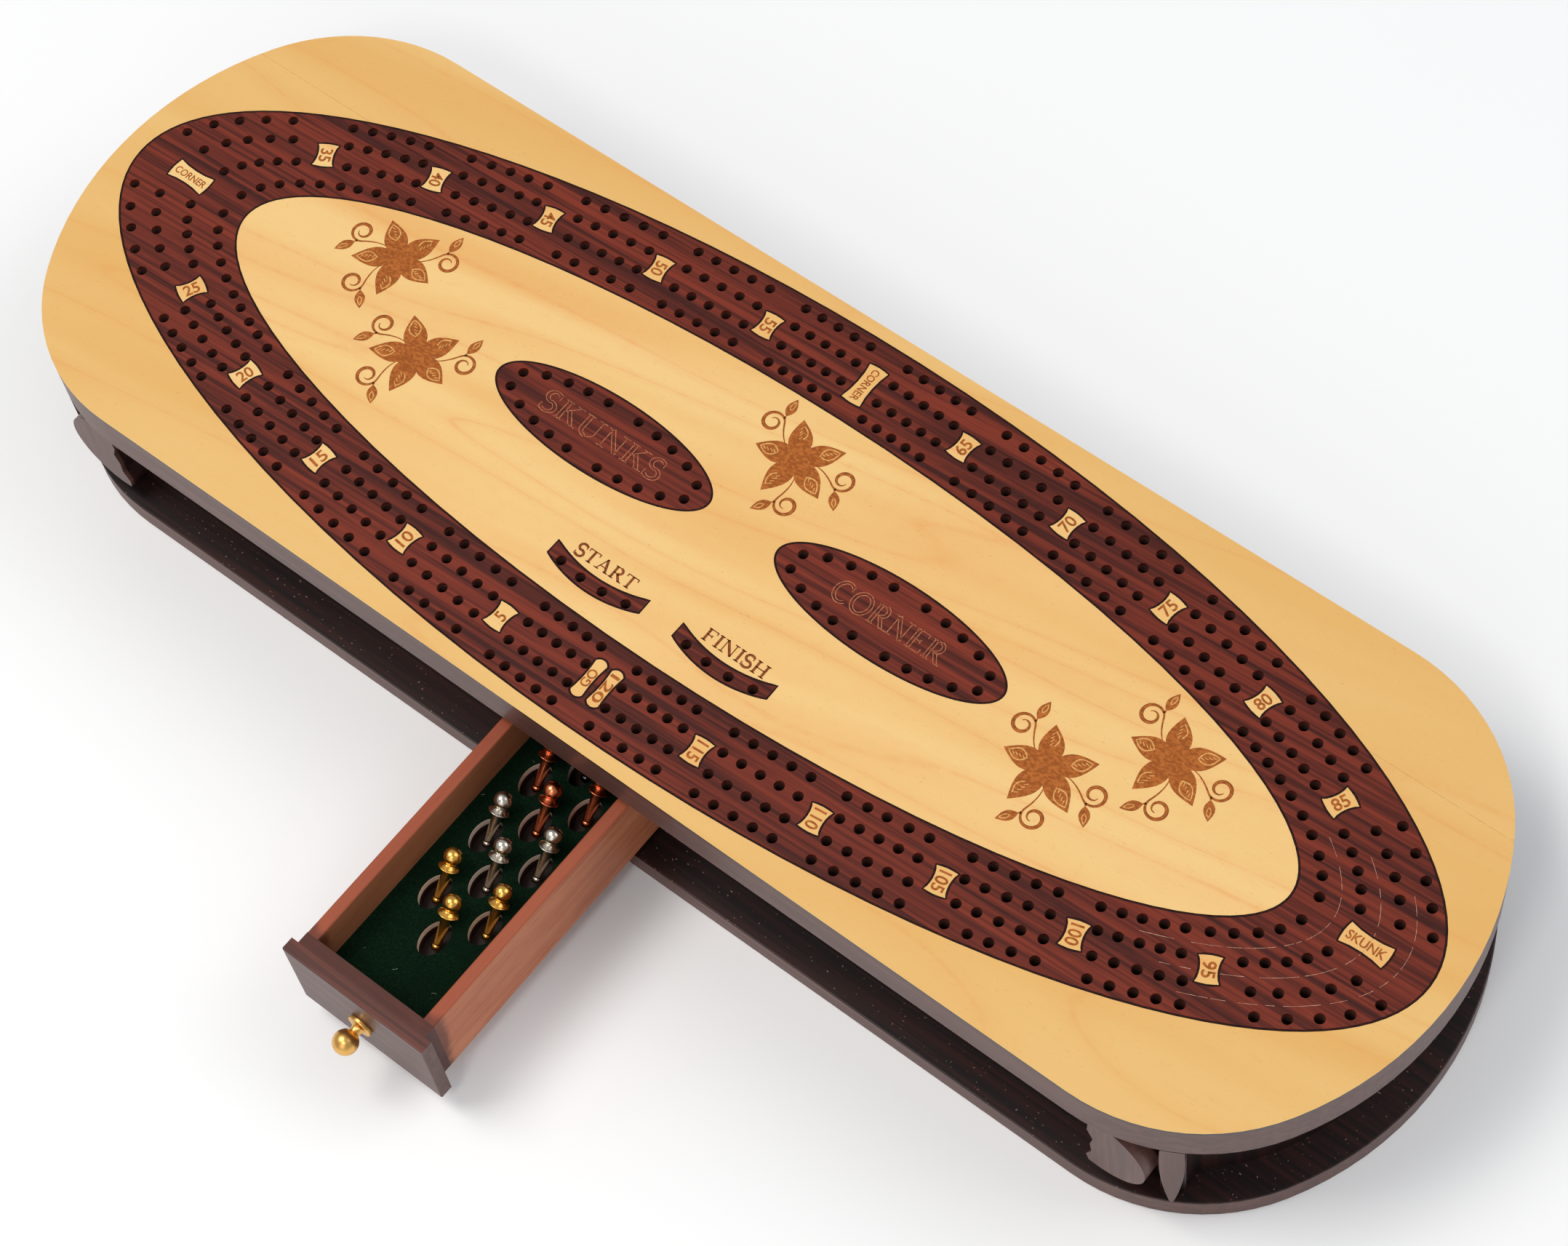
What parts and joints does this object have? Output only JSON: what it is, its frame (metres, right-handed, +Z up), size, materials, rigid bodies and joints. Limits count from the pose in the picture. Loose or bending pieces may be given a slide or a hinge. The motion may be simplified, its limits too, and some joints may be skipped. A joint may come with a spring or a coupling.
{
  "type": "cribbage board",
  "caption": "Flat-sided oval cribbage board with maple and dark inlays, an elliptical four-lane track of peg holes, a hollow middle layer and a felt-lined peg drawer with metal pegs",
  "frame": {"origin": "centre of the underside of the bottom board, on the surface it rests on", "axes": "+X along the board, +Y away from the drawer, +Z up"},
  "size_m": [0.457, 0.2457, 0.057],
  "materials": {
    "rosewood": "dark rosewood under a glossy clear coat",
    "maple": "pale maple veneer, satin lacquer",
    "track_wood": "reddish brown streaked veneer, satin lacquer",
    "frame_wood": "plain unfinished softwood inside the body",
    "mahogany": "reddish mahogany, satin oil",
    "dark_wood": "dark stained panel, glossy clear coat",
    "felt": "dark green felt",
    "brass": "polished brass",
    "nickel": "polished nickel plate",
    "copper": "polished copper plate",
    "black_nickel": "polished black nickel plate"
  },
  "bodies": {
    "board": {"bottom_board": "rosewood", "top_board": "rosewood", "front_rail_left": "rosewood", "front_rail_right": "rosewood", "back_rail": "rosewood", "end_rail_left": "rosewood", "end_rail_right": "rosewood", "corner_block_front_left": "rosewood", "corner_block_front_right": "rosewood", "corner_block_back_left": "rosewood", "corner_block_back_right": "rosewood", "maple_border": "maple", "maple_field": "maple", "marker_go": "maple", "marker_finish_line": "maple", "marker_corner_left": "maple", "marker_corner_rear": "maple", "marker_skunk": "maple", "number_markers_first_street": "maple", "number_markers_second_street": "maple", "number_markers_third_street": "maple", "number_markers_fourth_street": "maple", "track_band": "track_wood", "skunks_oval": "track_wood", "corner_oval": "track_wood", "start_tray": "track_wood", "finish_tray": "track_wood", "bay_wall_left": "frame_wood", "bay_wall_right": "frame_wood", "drawer_runner_left": "frame_wood", "drawer_runner_right": "frame_wood", "drawer_kicker_left": "frame_wood", "drawer_kicker_right": "frame_wood", "drawer_stop": "frame_wood"},
    "drawer": {"drawer_front_panel": "dark_wood", "drawer_inner_front": "mahogany", "drawer_side_left": "mahogany", "drawer_side_right": "mahogany", "drawer_back": "mahogany", "drawer_bottom": "mahogany", "peg_deck": "mahogany", "felt_lining": "felt", "drawer_knob": "brass"},
    "peg_brass_left": {"peg_brass_left": "brass"},
    "peg_brass_middle": {"peg_brass_middle": "brass"},
    "peg_brass_right": {"peg_brass_right": "brass"},
    "peg_nickel_left": {"peg_nickel_left": "nickel"},
    "peg_nickel_middle": {"peg_nickel_middle": "nickel"},
    "peg_nickel_right": {"peg_nickel_right": "nickel"},
    "peg_copper_left": {"peg_copper_left": "copper"},
    "peg_copper_middle": {"peg_copper_middle": "copper"},
    "peg_copper_right": {"peg_copper_right": "copper"},
    "peg_black_left": {"peg_black_left": "black_nickel"},
    "peg_black_middle": {"peg_black_middle": "black_nickel"},
    "peg_black_right": {"peg_black_right": "black_nickel"}
  },
  "joints": [
    {"name": "drawer_slide", "type": "slide", "parent": "board", "child": "drawer", "axis": [0, -1, 0], "range_m": [-0.0903, 0.01]},
    {"name": "brass_left_lift", "type": "slide", "parent": "drawer", "child": "peg_brass_left", "axis": [0, 0.6561, 0.7547], "range_m": [0, 0.009]},
    {"name": "brass_middle_lift", "type": "slide", "parent": "drawer", "child": "peg_brass_middle", "axis": [0, 0.6561, 0.7547], "range_m": [0, 0.009]},
    {"name": "brass_right_lift", "type": "slide", "parent": "drawer", "child": "peg_brass_right", "axis": [0, 0.6561, 0.7547], "range_m": [0, 0.009]},
    {"name": "nickel_left_lift", "type": "slide", "parent": "drawer", "child": "peg_nickel_left", "axis": [0, 0.6561, 0.7547], "range_m": [0, 0.009]},
    {"name": "nickel_middle_lift", "type": "slide", "parent": "drawer", "child": "peg_nickel_middle", "axis": [0, 0.6561, 0.7547], "range_m": [0, 0.009]},
    {"name": "nickel_right_lift", "type": "slide", "parent": "drawer", "child": "peg_nickel_right", "axis": [0, 0.6561, 0.7547], "range_m": [0, 0.009]},
    {"name": "copper_left_lift", "type": "slide", "parent": "drawer", "child": "peg_copper_left", "axis": [0, 0.6561, 0.7547], "range_m": [0, 0.009]},
    {"name": "copper_middle_lift", "type": "slide", "parent": "drawer", "child": "peg_copper_middle", "axis": [0, 0.6561, 0.7547], "range_m": [0, 0.009]},
    {"name": "copper_right_lift", "type": "slide", "parent": "drawer", "child": "peg_copper_right", "axis": [0, 0.6561, 0.7547], "range_m": [0, 0.009]},
    {"name": "black_left_lift", "type": "slide", "parent": "drawer", "child": "peg_black_left", "axis": [0, 0.6561, 0.7547], "range_m": [0, 0.009]},
    {"name": "black_middle_lift", "type": "slide", "parent": "drawer", "child": "peg_black_middle", "axis": [0, 0.6561, 0.7547], "range_m": [0, 0.009]},
    {"name": "black_right_lift", "type": "slide", "parent": "drawer", "child": "peg_black_right", "axis": [0, 0.6561, 0.7547], "range_m": [0, 0.009]}
  ]
}
